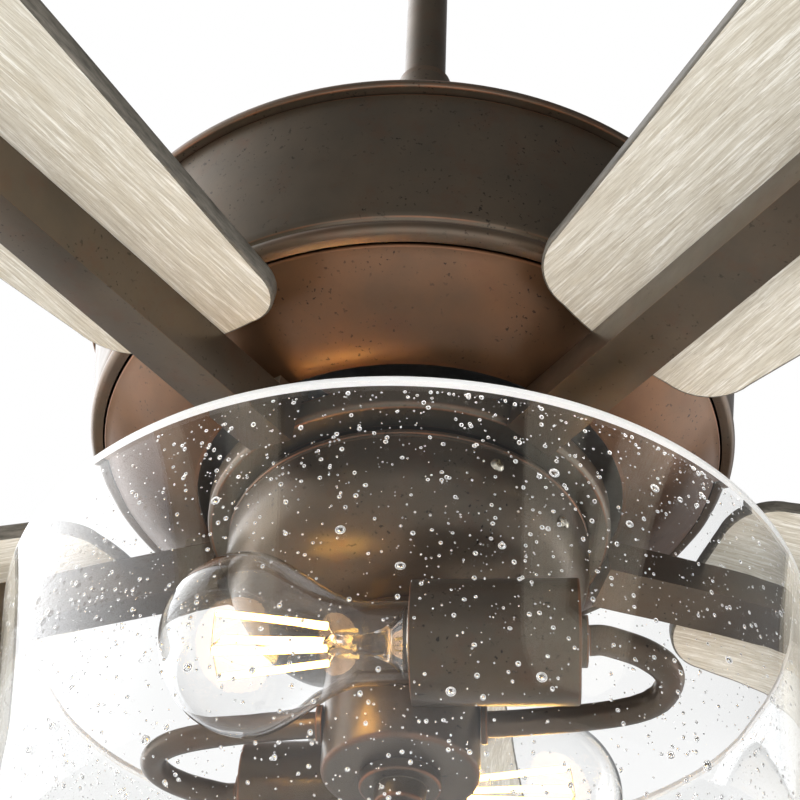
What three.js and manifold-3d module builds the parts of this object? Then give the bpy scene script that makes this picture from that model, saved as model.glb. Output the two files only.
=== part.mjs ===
// Ceiling fan with a two-lamp light kit in an open glass shade.
// Millimetres, +Z up. The origin is on the fan's axis at the ceiling face, so heights below it are negative.
import * as THREE from 'three';
import { mergeVertices } from 'three/addons/utils/BufferGeometryUtils.js';
import Module from 'manifold-3d';

const wasm = await Module();
wasm.setup();

// ---- driving dimensions -------------------------------------------------------------------------------

const GAP = 0.3; // between two pieces that touch
const LARGE = 36; // facets round the housings and the shade
const MEDIUM = 24; // facets round the canopy, the column and the bulbs
const ROUND = 16; // facets round rods, bearings and the small turned pieces
const SMALL = 10; // facets round pins and screws

// Ceiling side
const BRACKET = { length: 84, width: 44, sheet: 3, seatWidth: 62, seatTop: -48, seatBottom: -57 };
const WIRE_HOLE = { radius: 5.5, y: 14 };
const BRACKET_SCREW_X = 30;
const CANOPY_SCREW_Z = -9;
const SCREW = { shank: 2.2, hole: 2.6, head: 4.4, headHeight: 2.8 };
const CANOPY_SCREW_LENGTH = 32;
const CANOPY = { radius: 70, top: -1, shoulder: -26, bottom: -72, hole: 23, wall: 1.6 };
const BALL = { radius: 25, z: -38 };
const LINER = { inner: 25.5, outer: 28, from: 21, to: 42 }; // angles in degrees below the ball's middle
const SEAT_RADIUS = 28.6;

// Downrod and coupling
const ROD = { radius: 9.525, bore: 7.5, top: -11, bottom: -330 };
const COUPLING = { radius: 15, top: -300, bottom: -346 };
const COVER = { top: -253, bottom: -349.7, mouth: 12, foot: 43, wall: 1.5 };
const COVER_FLARE = 2.2;
const PIN_RADIUS = 3;
const BALL_PIN_HALF = 22;
const CLEVIS = { z: -313, head: 5, headEnd: -19, headFace: -16.5, tip: 20 };
const COTTER = { x: 17.6, radius: 0.75, hole: 1.3 };
const SET_SCREW = { z: -339, inner: 8.6, outer: 16 };

// Motor housing
const LIP = { radius: 133, top: -415, bottom: -418.5 };
const DOME_TOP = { radius: 50, z: -352, hole: 20, crown: 0.35 };
const DRUM = { top: 129.3, bottom: 123, foot: -484, footRadius: 118.2, groove: -474.5 };
const BEAD = { middle: 120, z: -480.5, radius: 3.3, from: -75, to: 75 }; // angles in degrees
const PAN = { outer: 117.6, inner: 80, top: -484.4, bottom: -505, curve: 1.7 };
const SHEET = 1.4;

// Motor
const SHAFT = { radius: 8, bore: 5, top: -333, bottom: -572 };
const STATOR = { radius: 84, top: -450, bottom: -466 };
const WINDING = { middle: 58, half: 16, height: 11, tilt: 0.4 };
const MOTOR_CAP = { radius: 104, rim: 3, upperFace: -430, lowerFace: -484, upperReach: 26, lowerReach: 27 };
const ROTOR_INNER = 86;
const BEARING = { radius: 18, height: 8, seatWall: 3, seatReach: 9 };

// Rotor hub, arms and blades
const HUB = { radius: 75, top: -512, bottom: -521, bore: 10, pocket: 64, web: 5, collar: 40, collarBore: 30 };
const BLADES = 5;
const FIRST_BLADE = 304.5; // degrees, anticlockwise from +X seen from above
const PITCH = THREE.MathUtils.degToRad(13);
const ARM = { start: 75.5, end: 300, width: 19, height: 17, top: -510 };
const FOOT = { start: 42, end: 88, half: 9, thick: 3.7 };
const BLADE = { root: 116.5, corner: 20, rootHalf: 43, half: 70, wide: 430, tip: 660, tipCorner: 32 };
const BLADE_THICK = 6;
const CROWN = 2; // how far the root's middle stands in from its ends

// Switch housing and light kit
const SWITCH_HOUSING = { radius: 66.5, top: -524.5, band: -537, bottom: -566, neck: 27, wall: 1.6 };
const SWITCH = { z: -531, width: 5, height: 4, travel: 3, clear: 0.6, depth: 8, proud: 2.5 };
const SWITCH_PLATE = { radius: 60, thick: 1.5 };
const SWITCH_BODY = { half: 11, deep: 11.7, below: 7, above: 4 };
const CAPACITOR = { reach: 18, back: -42, front: -24, bottom: -548, top: -534 };
const COLUMN = { radius: 27, top: -566.3, bottom: -621.5, wall: 2.5, corner: 2 };
const CAP = { radius: 14, step: -626, neck: 9, bottom: -633 };
const LAMP_TURN = THREE.MathUtils.degToRad(-4.5); // of the lamps' axes from the X axis
const SOCKET = { z: -600, y: 48, radius: 20, mouth: 6, rear: 60.4, wall: 2.5, collar: 8, collarLength: 2.6 };
const HOLDER = { radius: 16.6, bore: 14, mouth: 4, shoulder: 36, floor: 30, rear: 10 };
const TUBE = { radius: 4.75, tip: 90.5 };
const BULB = { radius: 30, neck: 13.2, neckLength: 14, length: 82, wall: 0.9 };
const SHADE = { radius: 141, top: -569, shoulder: -658, bottom: -725, wall: 4, hole: 6, squareness: 2.6 };
const CENTRE_ROD = { radius: 3, top: -612, bottom: -744 };
const WASHER = { radius: 15, thick: 3 };

const COLOURS = {
  bronze: [0x4a3f38, 0.42, 0.8],
  bronzeDark: [0x2b2420, 0.5, 0.8],
  steel: [0x8c8f92, 0.35, 0.9],
  castMetal: [0x55575a, 0.55, 0.7],
  copper: [0xa8623a, 0.4, 0.8],
  oak: [0xd9cdb8, 0.7, 0],
  glass: [0xf2f5f5, 0.05, 0],
  brass: [0xb8a06a, 0.3, 0.9],
  plastic: [0x1d1c1b, 0.5, 0],
  ceramic: [0xe8e6df, 0.5, 0],
  rubber: [0x222222, 0.8, 0],
};

// ---- shape helpers ------------------------------------------------------------------------------------

// Joins shared vertices and drops the zero-area facets that a pole leaves.
function welded(geometry) {
  const bare = geometry.clone();
  bare.deleteAttribute('normal');
  bare.deleteAttribute('uv');
  const merged = mergeVertices(bare, 1e-4);
  const index = merged.index.array;
  const kept = [];
  for (let i = 0; i < index.length; i += 3) {
    const [a, b, c] = index.slice(i, i + 3);
    if (a !== b && b !== c && c !== a) kept.push(a, b, c);
  }
  merged.setIndex(kept);
  return merged;
}

function solid(geometry) {
  const mesh = welded(geometry);
  const vertProperties = new Float32Array(mesh.attributes.position.array);
  const triVerts = new Uint32Array(mesh.index.array);
  return new wasm.Manifold(new wasm.Mesh({ numProp: 3, vertProperties, triVerts }));
}

function geometryOf(body) {
  const mesh = body.getMesh();
  const geometry = new THREE.BufferGeometry();
  geometry.setAttribute('position', new THREE.BufferAttribute(mesh.vertProperties, 3));
  geometry.setIndex(new THREE.BufferAttribute(mesh.triVerts, 1));
  return geometry;
}

function cut(base, ...tools) {
  return geometryOf(tools.reduce((body, tool) => body.subtract(solid(tool)), solid(base)));
}

function join(base, ...others) {
  return geometryOf(others.reduce((body, other) => body.add(solid(other)), solid(base)));
}

// Turns a profile of [radius, height] points about Z. The points run anticlockwise, radius to the right.
function revolve(points, facets) {
  const profile = points.map(([radius, height]) => new THREE.Vector2(radius, height));
  return new THREE.LatheGeometry(profile, facets).rotateX(Math.PI / 2);
}

// The same for a profile that doesn't touch the axis: it closes on its first point.
function ring(points, facets) {
  return revolve([...points, points[0]], facets);
}

function tube(outer, inner, top, bottom, facets) {
  return ring([[inner, bottom], [outer, bottom], [outer, top], [inner, top]], facets);
}

// A cylinder along Z between two heights.
function rod(radius, top, bottom, facets = SMALL) {
  return revolve([[0, bottom], [radius, bottom], [radius, top], [0, top]], facets);
}

// A cylinder along X through the point (0, y, z).
function crossRod(radius, fromX, toX, y, z, facets = SMALL) {
  return rod(radius, toX, fromX, facets).rotateY(Math.PI / 2).translate(0, y, z);
}

function box(fromX, toX, fromY, toY, fromZ, toZ) {
  return new THREE.BoxGeometry(toX - fromX, toY - fromY, toZ - fromZ)
    .translate((fromX + toX) / 2, (fromY + toY) / 2, (fromZ + toZ) / 2);
}

// Evenly spaced points of a curve given as a function of t from 0 to 1.
function sample(count, curve) {
  return Array.from({ length: count + 1 }, (_, i) => curve(i / count));
}

const fan = new THREE.Group();

function add(name, geometry, colour, parent = fan) {
  const [color, roughness, metalness] = COLOURS[colour];
  const material = new THREE.MeshStandardMaterial({ color, roughness, metalness });
  const mesh = new THREE.Mesh(welded(geometry), material);
  mesh.name = name;
  parent.add(mesh);
  return mesh;
}

// ---- ceiling side -------------------------------------------------------------------------------------

function hangerBracket() {
  const half = BRACKET.length / 2;
  const width = BRACKET.width / 2;
  const seat = BRACKET.seatWidth / 2;
  const plate = box(-half, half, -width, width, -BRACKET.sheet, 0);
  const legs = [-1, 1].map((side) => {
    const inner = side * (half - BRACKET.sheet);
    const outer = side * half;
    return box(Math.min(inner, outer), Math.max(inner, outer), -width, width, BRACKET.seatBottom, -1);
  });
  const cradle = box(-half, half, -seat, seat, BRACKET.seatBottom, BRACKET.seatTop);
  const ballSpace = new THREE.SphereGeometry(SEAT_RADIUS, MEDIUM, 16).rotateX(Math.PI / 2)
    .translate(0, 0, BALL.z);
  const screwHoles = [-1, 1].map((side) => rod(SCREW.hole, 1, -5).translate(side * BRACKET_SCREW_X, 0, 0));
  const wireHole = rod(WIRE_HOLE.radius, 1, -5).translate(0, WIRE_HOLE.y, 0);
  const sideHoles = crossRod(SCREW.hole, -60, 60, 0, CANOPY_SCREW_Z);
  return cut(join(plate, ...legs, cradle), ballSpace, ...screwHoles, wireHole, sideHoles);
}

function canopy() {
  const { radius, top, shoulder, bottom, hole, wall } = CANOPY;
  const outside = (r, depth) => (t) => {
    const angle = (t * Math.PI) / 2;
    return [hole + (r - hole) * Math.sin(angle), depth + (shoulder - depth) * (1 - Math.cos(angle))];
  };
  const outer = sample(6, outside(radius, bottom));
  const inner = sample(6, outside(radius - wall, bottom + wall)).reverse();
  const shell = ring([...outer, [radius, top], [radius - wall, top], ...inner], MEDIUM);
  return cut(shell, crossRod(SCREW.hole, -80, 80, 0, CANOPY_SCREW_Z));
}

function liner() {
  const arc = (radius, from, to) => sample(4, (t) => {
    const angle = THREE.MathUtils.degToRad(from + (to - from) * t);
    return [radius * Math.cos(angle), BALL.z - radius * Math.sin(angle)];
  });
  return ring([...arc(LINER.outer, LINER.to, LINER.from), ...arc(LINER.inner, LINER.from, LINER.to)], MEDIUM);
}

function hangerBall() {
  const ball = new THREE.SphereGeometry(BALL.radius, 18, 10).rotateX(Math.PI / 2).translate(0, 0, BALL.z);
  const bore = rod(ROD.radius + GAP, 0, -80, ROUND);
  const pinHole = crossRod(PIN_RADIUS + GAP, -40, 40, 0, BALL.z);
  return cut(ball, bore, pinHole);
}

// A pan-head screw along Z with its head below, from the head's underside at z = 0 up to z = length.
function screw(length) {
  return revolve([
    [0, -SCREW.headHeight],
    [SCREW.head * 0.6, -SCREW.headHeight],
    [SCREW.head, -SCREW.headHeight * 0.4],
    [SCREW.head, 0],
    [SCREW.shank, 0],
    [SCREW.shank, length],
    [0, length],
  ], SMALL);
}

function addCeilingSide() {
  add('hanger_bracket', hangerBracket(), 'steel');
  add('canopy', canopy(), 'bronze');
  for (const [side, label] of [[-1, 'left'], [1, 'right']]) {
    const ceilingScrew = add(`bracket_screw_${label}`, screw(BRACKET.sheet), 'steel');
    ceilingScrew.position.set(side * BRACKET_SCREW_X, 0, -BRACKET.sheet - GAP);
    const canopyScrew = add(`canopy_screw_${label}`, screw(CANOPY_SCREW_LENGTH), 'bronzeDark');
    canopyScrew.position.set(side * (CANOPY.radius + GAP), 0, CANOPY_SCREW_Z);
    canopyScrew.rotation.y = (-side * Math.PI) / 2;
  }
  add('ball_liner', liner(), 'plastic');
  add('hanger_ball', hangerBall(), 'plastic');
}

// ---- downrod and coupling -----------------------------------------------------------------------------

function downrod() {
  const pipe = tube(ROD.radius, ROD.bore, ROD.top, ROD.bottom, ROUND);
  const holes = [BALL.z, CLEVIS.z].map((z) => crossRod(PIN_RADIUS + GAP, -20, 20, 0, z));
  return cut(pipe, ...holes);
}

function motorCoupling() {
  const { radius, top, bottom } = COUPLING;
  const shaftBore = SHAFT.radius + GAP;
  const rodBore = ROD.radius + GAP;
  const step = ROD.bottom - 1.2;
  const body = ring([
    [shaftBore, bottom], [radius, bottom], [radius, top], [rodBore, top], [rodBore, step], [shaftBore, step],
  ], ROUND);
  const setScrewHole = crossRod(SCREW.shank + GAP, 0, 20, 0, SET_SCREW.z);
  return cut(body, crossRod(PIN_RADIUS + GAP, -20, 20, 0, CLEVIS.z), setScrewHole);
}

function couplingCover() {
  const { top, bottom, mouth, foot, wall } = COVER;
  const bell = (inset) => (t) => [
    mouth + (foot - mouth) * (1 - t) ** COVER_FLARE - inset,
    bottom + (top - bottom) * t,
  ];
  return ring([...sample(6, bell(0)), ...sample(6, bell(wall)).reverse()], MEDIUM);
}

// A headed pin along X, with a hole near its end for the cotter.
function clevisPin() {
  const { z, head, headEnd, headFace, tip } = CLEVIS;
  const pin = revolve([
    [0, headEnd], [head, headEnd], [head, headFace], [PIN_RADIUS, headFace], [PIN_RADIUS, tip], [0, tip],
  ], SMALL).rotateY(Math.PI / 2);
  return cut(pin, rod(COTTER.hole, 8, -8).translate(COTTER.x, 0, 0)).translate(0, 0, z);
}

// The cotter: a wire down through the clevis pin, with its end curled back in a hook.
function cotter() {
  const hook = [[0, 5], [0, -4.8], [2.4, -7.2], [0, -9.6], [-2.4, -7.4]];
  const path = new THREE.CatmullRomCurve3(hook.map(([y, z]) => new THREE.Vector3(COTTER.x, y, z)));
  const section = new THREE.Shape().absarc(0, 0, COTTER.radius, 0, 2 * Math.PI);
  const options = { steps: 16, curveSegments: 4, bevelEnabled: false, extrudePath: path };
  return new THREE.ExtrudeGeometry(section, options).translate(0, 0, CLEVIS.z);
}

function addDownrod() {
  add('downrod', downrod(), 'bronze');
  add('ball_pin', crossRod(PIN_RADIUS, -BALL_PIN_HALF, BALL_PIN_HALF, 0, BALL.z), 'steel');
  add('motor_coupling', motorCoupling(), 'castMetal');
  add('clevis_pin', clevisPin(), 'steel');
  add('cotter_pin', cotter(), 'steel');
  add('coupling_set_screw', crossRod(SCREW.shank, SET_SCREW.inner, SET_SCREW.outer, 0, SET_SCREW.z), 'steel');
  add('coupling_cover', couplingCover(), 'bronze');
}

// ---- motor housing ------------------------------------------------------------------------------------

// A shallow dome that rises from the lip to a flat top, with a hole for the coupling.
function upperHousing() {
  const dome = (edge, base, lift) => (t) => {
    const rise = t * (1 + DOME_TOP.crown * (1 - t));
    return [edge + (DOME_TOP.radius - edge) * t, base + (DOME_TOP.z - lift - base) * rise];
  };
  const outer = sample(6, dome(LIP.radius - 4, LIP.top + 0.8, 0));
  const inner = sample(6, dome(LIP.radius - 6, LIP.top - SHEET, SHEET)).reverse();
  return ring([
    [LIP.radius - 6, LIP.bottom],
    [LIP.radius, LIP.bottom],
    [LIP.radius, LIP.top],
    ...outer,
    [DOME_TOP.hole, DOME_TOP.z],
    [DOME_TOP.hole, DOME_TOP.z - SHEET],
    ...inner,
  ], LARGE);
}

// The drum's tapered wall, with a groove and a rolled bead at its foot.
function drum() {
  const bead = sample(5, (t) => {
    const angle = THREE.MathUtils.degToRad(BEAD.from + (BEAD.to - BEAD.from) * t);
    return [BEAD.middle + BEAD.radius * Math.cos(angle), BEAD.z + BEAD.radius * Math.sin(angle)];
  });
  const top = LIP.bottom - GAP;
  return ring([
    [DRUM.footRadius, DRUM.foot],
    ...bead,
    [DRUM.bottom - 1.8, DRUM.groove - 2],
    [DRUM.bottom, DRUM.groove],
    [DRUM.top, top],
    [DRUM.top - SHEET, top],
    [DRUM.bottom - 2 * SHEET, DRUM.groove],
    [DRUM.footRadius, DRUM.groove - 3],
  ], LARGE);
}

function lowerPan() {
  const bowl = (lift) => (t) => [
    PAN.inner + (PAN.outer - PAN.inner) * t,
    PAN.bottom + (PAN.top - PAN.bottom) * t ** PAN.curve + lift,
  ];
  const rim = PAN.outer - 0.8;
  return ring([
    ...sample(6, bowl(0)),
    [rim, PAN.top + SHEET],
    ...sample(6, bowl(SHEET)).filter(([r]) => r < rim - 2).reverse(),
  ], LARGE);
}

function addHousing() {
  add('upper_housing', upperHousing(), 'bronze');
  add('motor_drum', drum(), 'bronze');
  add('lower_pan', lowerPan(), 'bronze');
}

// ---- motor --------------------------------------------------------------------------------------------

function winding(top, bottom) {
  const height = (top + bottom) / 2;
  const half = (top - bottom) / 2;
  const oval = sample(6, (t) => {
    const angle = 2 * Math.PI * t - WINDING.tilt;
    return [WINDING.middle + WINDING.half * Math.cos(angle), height + half * Math.sin(angle)];
  });
  return ring(oval.slice(0, -1), ROUND);
}

// A motor end cap: a disc with a rim at its edge and a bearing seat at its middle. side is 1 above, -1 below.
function motorCap(side, face, rimReach) {
  const { radius, rim } = MOTOR_CAP;
  const hole = SHAFT.radius + 2;
  const seat = BEARING.radius;
  const seatOuter = seat + BEARING.seatWall;
  const seatEnd = face - side * BEARING.seatReach;
  const back = face + side * SHEET;
  const profile = [
    [hole, face], [hole, back], [radius, back], [radius, face - side * rimReach],
    [radius - rim, face - side * rimReach], [radius - rim, face], [seatOuter, face], [seatOuter, seatEnd],
    [seat, seatEnd], [seat, face],
  ];
  return ring(side > 0 ? profile.reverse() : profile, ROUND);
}

function bearing(face, side) {
  const heights = [face - side * GAP, face - side * BEARING.height];
  return tube(BEARING.radius - GAP, SHAFT.radius + GAP, Math.max(...heights), Math.min(...heights), ROUND);
}

function addMotor() {
  const { radius, rim, upperFace, lowerFace, upperReach, lowerReach } = MOTOR_CAP;
  const { top, bottom } = STATOR;
  add('motor_shaft', tube(SHAFT.radius, SHAFT.bore, SHAFT.top, SHAFT.bottom, ROUND), 'steel');
  add('stator_core', tube(STATOR.radius, SHAFT.radius + GAP, top, bottom, ROUND), 'castMetal');
  add('winding_upper', winding(top + WINDING.height, top + GAP), 'copper');
  add('winding_lower', winding(bottom - GAP, bottom - WINDING.height), 'copper');
  add('rotor_ring', tube(radius - rim - GAP, ROTOR_INNER, top, bottom, ROUND), 'castMetal');
  add('motor_cap_upper', motorCap(1, upperFace, upperReach), 'castMetal');
  add('motor_cap_lower', motorCap(-1, lowerFace, lowerReach), 'castMetal');
  add('bearing_upper', bearing(upperFace, 1), 'steel');
  add('bearing_lower', bearing(lowerFace, -1), 'steel');
}

// ---- rotor: hub, arms and blades ----------------------------------------------------------------------

// The hub under the motor: a rim and a web, with a collar that reaches up to the motor's lower cap.
function hub() {
  const motorFace = MOTOR_CAP.lowerFace - SHEET - GAP;
  const webTop = HUB.top - 1;
  const webBottom = webTop - HUB.web;
  return ring([
    [HUB.bore, webBottom],
    [HUB.pocket, webBottom],
    [HUB.pocket, HUB.bottom],
    [HUB.radius - 2, HUB.bottom],
    [HUB.radius, HUB.bottom + 2],
    [HUB.radius, HUB.top],
    [HUB.collar, HUB.top],
    [HUB.collar, motorFace],
    [HUB.collarBore, motorFace],
    [HUB.collarBore, webTop],
    [HUB.bore, webTop],
  ], LARGE);
}

// The bar under a blade, with a flat foot that lies on top of the hub. +X points out along the blade.
function bladeArm() {
  const half = ARM.width / 2;
  const bar = box(ARM.start, ARM.end, -half, half, -ARM.height, 0).rotateX(-PITCH).translate(0, 0, ARM.top);
  const base = HUB.top + GAP;
  return join(bar, box(FOOT.start, FOOT.end, -FOOT.half, FOOT.half, base, base + FOOT.thick));
}

// A blade widens from its rounded root to its full width and runs straight to the tip's rounded corners.
function blade() {
  const { root, corner, rootHalf, half, wide, tip, tipCorner } = BLADE;
  const cornerX = root + CROWN + corner;
  const cornerY = rootHalf - corner;
  const quarter = Math.PI / 2;
  const flare = [cornerX + 95, rootHalf + 12];
  const settle = wide - 120;
  const outline = new THREE.Shape();
  outline.moveTo(cornerX, -rootHalf);
  outline.bezierCurveTo(flare[0], -flare[1], settle, -half, wide, -half);
  outline.lineTo(tip - tipCorner, -half);
  outline.absarc(tip - tipCorner, -half + tipCorner, tipCorner, -quarter, 0);
  outline.absarc(tip - tipCorner, half - tipCorner, tipCorner, 0, quarter);
  outline.lineTo(wide, half);
  outline.bezierCurveTo(settle, half, flare[0], flare[1], cornerX, rootHalf);
  outline.absarc(cornerX, cornerY, corner, quarter, 2 * quarter);
  outline.quadraticCurveTo(root - CROWN, 0, root + CROWN, -cornerY);
  outline.absarc(cornerX, -cornerY, corner, 2 * quarter, 3 * quarter);
  return new THREE.ExtrudeGeometry(outline, { depth: BLADE_THICK, bevelEnabled: false, curveSegments: 4 })
    .translate(0, 0, GAP);
}

function addRotor() {
  add('hub', hub(), 'bronzeDark');
  for (let i = 0; i < BLADES; i += 1) {
    const spoke = new THREE.Group();
    spoke.rotation.z = THREE.MathUtils.degToRad(FIRST_BLADE + (360 / BLADES) * i);
    fan.add(spoke);
    add(`blade_arm_${i + 1}`, bladeArm(), 'bronze', spoke);
    const pitched = new THREE.Group();
    pitched.position.z = ARM.top;
    pitched.rotation.x = -PITCH;
    spoke.add(pitched);
    add(`blade_${i + 1}`, blade(), 'oak', pitched);
  }
}

// ---- switch housing -----------------------------------------------------------------------------------

function switchHousing() {
  const { radius, top, band, bottom, neck, wall } = SWITCH_HOUSING;
  const bowl = (inset) => (t) => {
    const angle = (t * Math.PI) / 2;
    const edge = radius - inset;
    const depth = bottom + inset;
    return [neck + (edge - neck) * Math.sin(angle), depth + (band - depth) * (1 - Math.cos(angle))];
  };
  const hole = SHAFT.radius + GAP;
  const shell = ring([
    [hole, bottom],
    ...sample(6, bowl(0)),
    [radius, top],
    [radius - wall, top],
    ...sample(6, bowl(wall)).reverse(),
    [hole, bottom + wall],
  ], LARGE);
  const reach = SWITCH.width / 2 + SWITCH.travel + SWITCH.clear;
  const half = SWITCH.height / 2 + SWITCH.clear;
  return cut(shell, box(-reach, reach, radius - SWITCH.depth, radius + 5, SWITCH.z - half, SWITCH.z + half));
}

// The slider of the reversing switch: a knob in the housing's slot, with a wider foot behind it.
function reversingSwitch() {
  const { z, width, height, depth, proud } = SWITCH;
  const { radius } = SWITCH_HOUSING;
  const half = height / 2;
  const knob = box(-width / 2, width / 2, radius - depth + 1, radius + proud, z - half, z + half);
  const foot = box(-width, width, radius - depth, radius - depth + 3, z - height, z + height);
  return join(knob, foot);
}

function addSwitchHousing() {
  const plateTop = SWITCH_HOUSING.top - 0.2;
  const bodyFront = SWITCH_HOUSING.radius - SWITCH.depth - GAP;
  add('switch_housing', switchHousing(), 'bronze');
  const plateBottom = plateTop - SWITCH_PLATE.thick;
  add('switch_plate', tube(SWITCH_PLATE.radius, SHAFT.radius + GAP, plateTop, plateBottom, MEDIUM), 'steel');
  const { reach, back, front, bottom, top } = CAPACITOR;
  add('capacitor', box(-reach, reach, back, front, bottom, top), 'plastic');
  add('reversing_switch', reversingSwitch(), 'plastic');
  const { half, deep, below, above } = SWITCH_BODY;
  add('switch_body', box(-half, half, bodyFront - deep, bodyFront, SWITCH.z - below, SWITCH.z + above), 'plastic');
}

// ---- light kit ----------------------------------------------------------------------------------------

function column() {
  const { radius, top, bottom, wall, corner } = COLUMN;
  const rodHole = CENTRE_ROD.radius + GAP;
  const shaftHole = SHAFT.radius + GAP;
  const rounding = sample(3, (t) => {
    const angle = (t * Math.PI) / 2;
    return [radius - corner + corner * Math.sin(angle), bottom + corner - corner * Math.cos(angle)];
  });
  return ring([
    [rodHole, bottom], ...rounding, [radius, top], [shaftHole, top], [shaftHole, top - wall],
    [radius - wall, top - wall], [radius - wall, bottom + wall], [rodHole, bottom + wall],
  ], MEDIUM);
}

function columnCap() {
  const rodHole = CENTRE_ROD.radius + GAP;
  const top = COLUMN.bottom - GAP;
  return ring([
    [rodHole, CAP.bottom], [CAP.neck, CAP.bottom], [CAP.neck, CAP.step], [CAP.radius, CAP.step],
    [CAP.radius, top], [rodHole, top],
  ], ROUND);
}

// The bent tube: out from the column, round a bend and back into the socket cover's rear, in a level plane.
function bentTube() {
  const start = COLUMN.radius + GAP;
  const end = SOCKET.rear + SOCKET.collarLength + GAP;
  const { tip } = TUBE;
  const route = [
    [start, 0], [start + 5, -0.1], [start + 17, -1.6], [start + 35, -4.6], [tip - 12.5, -9],
    [tip - 3.5, -15.2], [tip, -24], [tip - 2.5, -32.8], [tip - 9.5, -40.5], [tip - 18.5, -46],
    [end + 4, -SOCKET.y], [end, -SOCKET.y],
  ];
  const points = route.map(([x, y]) => new THREE.Vector3(x, y, 0));
  const path = new THREE.CatmullRomCurve3(points, false, 'centripetal');
  const section = new THREE.Shape().absarc(0, 0, TUBE.radius, 0, 2 * Math.PI);
  const options = { steps: 22, curveSegments: 4, bevelEnabled: false, extrudePath: path };
  return new THREE.ExtrudeGeometry(section, options);
}

// Pieces of one lamp are turned about Z and then laid along X: height 0 is the socket cover's mouth, the rear
// is above it and the bulb below.
const LAMP_LENGTH = SOCKET.rear - SOCKET.mouth;

function socketCover() {
  const { radius, wall, collar, collarLength } = SOCKET;
  return revolve([
    [0, LAMP_LENGTH - wall], [radius - wall, LAMP_LENGTH - wall], [radius - wall, 0], [radius, 0],
    [radius, LAMP_LENGTH - 1], [radius - 1, LAMP_LENGTH], [collar, LAMP_LENGTH],
    [collar, LAMP_LENGTH + collarLength], [0, LAMP_LENGTH + collarLength],
  ], MEDIUM);
}

function lampHolder() {
  const { radius, bore, mouth, shoulder, floor, rear } = HOLDER;
  const back = LAMP_LENGTH - SOCKET.wall - GAP;
  return revolve([
    [0, floor], [bore, floor], [bore, mouth], [radius, mouth], [radius, shoulder], [rear, back], [0, back],
  ], ROUND);
}

function bulbBase() {
  return revolve([
    [0, -0.5], [BULB.neck, -0.5], [BULB.neck, 21], [9, 24], [5, 27], [0, 27],
  ], ROUND);
}

// A pear-shaped envelope, open at its neck: a half circle, then a smooth waist down to a straight neck.
function bulbGlass() {
  const { radius, neck, neckLength, length, wall } = BULB;
  const start = -0.5 - GAP;
  const centre = start - length + radius;
  const tip = (inset) => sample(6, (t) => {
    const angle = (t * Math.PI) / 2;
    return [(radius - inset) * Math.sin(angle), centre - (radius - inset) * Math.cos(angle)];
  });
  const waist = (inset) => [...sample(5, (t) => {
    const ease = t * t * (3 - 2 * t);
    return [radius + (neck - radius) * ease - inset, centre + (start - neckLength - centre) * t];
  }).slice(1), [neck - inset, start]];
  return revolve([...tip(0), ...waist(0), ...waist(wall).reverse(), ...tip(wall).reverse()], ROUND);
}

function addLamp(index) {
  const lamp = new THREE.Group();
  lamp.rotation.z = LAMP_TURN + (index === 1 ? 0 : Math.PI);
  lamp.position.z = SOCKET.z;
  fan.add(lamp);
  add(`bent_tube_${index}`, bentTube(), 'bronze', lamp);
  const lengthwise = new THREE.Group();
  lengthwise.position.set(SOCKET.mouth, -SOCKET.y, 0);
  lengthwise.rotation.y = Math.PI / 2;
  lamp.add(lengthwise);
  add(`socket_cover_${index}`, socketCover(), 'bronze', lengthwise);
  add(`lamp_holder_${index}`, lampHolder(), 'ceramic', lengthwise);
  add(`bulb_base_${index}`, bulbBase(), 'brass', lengthwise);
  add(`bulb_glass_${index}`, bulbGlass(), 'glass', lengthwise);
}

// An open bowl with a straight upper wall and a rounded bottom, and a hole for the centre rod.
function glassShade() {
  const { radius, top, shoulder, bottom, wall, hole, squareness } = SHADE;
  const holeAngle = Math.acos((hole / radius) ** (squareness / 2));
  const bowl = (inset) => sample(9, (t) => {
    const angle = holeAngle * (1 - t);
    const reach = Math.cos(angle) ** (2 / squareness);
    const depth = Math.sin(angle) ** (2 / squareness);
    return [Math.max(hole, (radius - inset) * reach), shoulder + (bottom + inset - shoulder) * depth];
  });
  return ring([
    ...bowl(0), [radius, top + 1.5], [radius - 1.2, top + 3], [radius - wall + 1.2, top + 3],
    [radius - wall, top + 1.5], ...bowl(wall).reverse(),
  ], LARGE);
}

// The knob that closes the centre rod's end under the shade.
function finial() {
  const top = SHADE.bottom - WASHER.thick - 3 * GAP;
  const bore = CENTRE_ROD.radius + GAP;
  return revolve([
    [0, top - 24], [5, top - 23], [8.5, top - 20], [9.5, top - 16], [8, top - 12], [6.5, top - 9],
    [12, top - 6], [13, top - 3], [12.5, top], [bore, top], [bore, top - 17], [0, top - 17],
  ], ROUND);
}

function washer(top) {
  return tube(WASHER.radius, CENTRE_ROD.radius + GAP, top, top - WASHER.thick, ROUND);
}

function addLightKit() {
  add('light_column', column(), 'bronze');
  add('column_cap', columnCap(), 'bronze');
  addLamp(1);
  addLamp(2);
  add('glass_shade', glassShade(), 'glass');
  add('shade_washer_upper', washer(SHADE.bottom + SHADE.wall + WASHER.thick + 3 * GAP), 'rubber');
  add('shade_washer_lower', washer(SHADE.bottom - GAP), 'rubber');
  add('centre_rod', rod(CENTRE_ROD.radius, CENTRE_ROD.top, CENTRE_ROD.bottom), 'steel');
  add('finial', finial(), 'bronze');
}

addCeilingSide();
addDownrod();
addHousing();
addMotor();
addRotor();
addSwitchHousing();
addLightKit();

export default fan;
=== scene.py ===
"""Ceiling fan with a two-lamp light kit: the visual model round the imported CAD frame. Metres, +Z up."""
import math
import random

import bmesh
import bpy
import numpy as np
from mathutils import Matrix, Vector


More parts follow.
